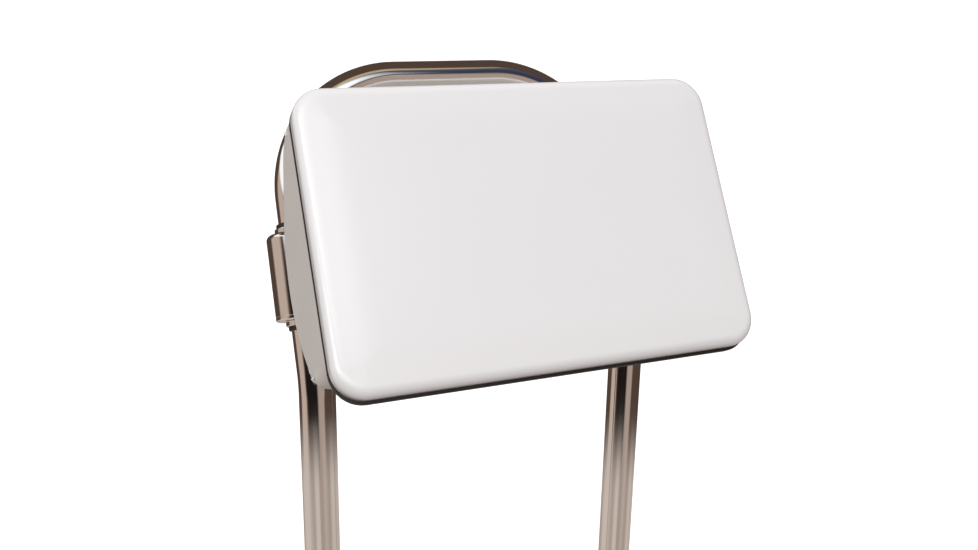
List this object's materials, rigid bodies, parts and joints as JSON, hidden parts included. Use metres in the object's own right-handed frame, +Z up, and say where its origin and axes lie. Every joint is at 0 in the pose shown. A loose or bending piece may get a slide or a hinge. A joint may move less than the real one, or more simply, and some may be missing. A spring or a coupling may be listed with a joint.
{
  "type": "security gate post",
  "caption": "Chrome tube bow gate post with a tilting, height-adjustable white sealed electronics head behind a hinged front cover.",
  "frame": {"origin": "middle of the footprint box, on the floor", "axes": "+Z up, +Y towards the back, +X to the right of someone facing the cover"},
  "size_m": [0.506, 0.362, 1.1979],
  "materials": {
    "chrome": "polished plate",
    "steel": "satin",
    "screw_steel": "zinc plated",
    "alloy": "satin cast",
    "black_plastic": "moulded",
    "seal_rubber": "moulded",
    "shell_plastic": "gloss",
    "cover_plastic": "gloss",
    "brass": "plain",
    "board": "solder mask"
  },
  "bodies": {
    "frame": {"bow_tube": "chrome", "floor_socket_left": "steel", "floor_socket_right": "steel", "socket_set_screws": "screw_steel"},
    "carriage": {"hub_core_left": "alloy", "hub_core_right": "alloy", "hub_sleeve_left": "chrome", "hub_sleeve_right": "chrome", "hub_end_cap_left": "chrome", "hub_end_cap_right": "chrome", "hub_collars_left": "chrome", "hub_collars_right": "chrome", "liner_bushes_left": "black_plastic", "liner_bushes_right": "black_plastic", "hub_set_screws": "screw_steel", "tilt_crossbar": "chrome"},
    "head": {"tilt_saddle_left": "alloy", "tilt_saddle_right": "alloy", "tilt_cap_left": "alloy", "tilt_cap_right": "alloy", "tilt_cap_screws": "screw_steel", "saddle_screws": "screw_steel", "threaded_inserts": "brass", "rear_shell": "shell_plastic", "gasket": "seal_rubber", "chassis_plate": "steel", "chassis_screws": "screw_steel", "antenna_former": "black_plastic", "antenna_winding": "brass", "controller_board": "board", "board_spacers": "brass", "power_supply": "steel", "terminal_block": "black_plastic", "sounder": "black_plastic", "cable_gland": "black_plastic", "gland_nut": "black_plastic", "hinge_leaves_fixed": "steel", "hinge_pins": "steel", "lock_barrel": "chrome"},
    "cover": {"front_cover": "cover_plastic", "hinge_leaves_moving": "steel", "lock_keeper": "steel"},
    "lock": {"lock_plug": "steel", "lock_cam": "steel", "cam_screw": "screw_steel"}
  },
  "joints": [
    {"name": "head_height", "type": "slide", "parent": "frame", "child": "carriage", "axis": [0, 0.3971, 0.9178], "range_m": [-0.04, 0.025]},
    {"name": "head_tilt", "type": "hinge", "parent": "carriage", "child": "head", "pos_m": [0, 0.07405, 0.97701], "axis": [-1, 0, 0], "range_deg": [-15, 15]},
    {"name": "cover_swing", "type": "hinge", "parent": "head", "child": "cover", "pos_m": [0.2309, -0.09211, 1.05491], "axis": [0, 0.4909, 0.8712], "range_deg": [0, 120]},
    {"name": "lock_turn", "type": "hinge", "parent": "head", "child": "lock", "pos_m": [0, -0.13881, 0.9374], "axis": [0, 0.4909, 0.8712], "range_deg": [0, 90]}
  ]
}
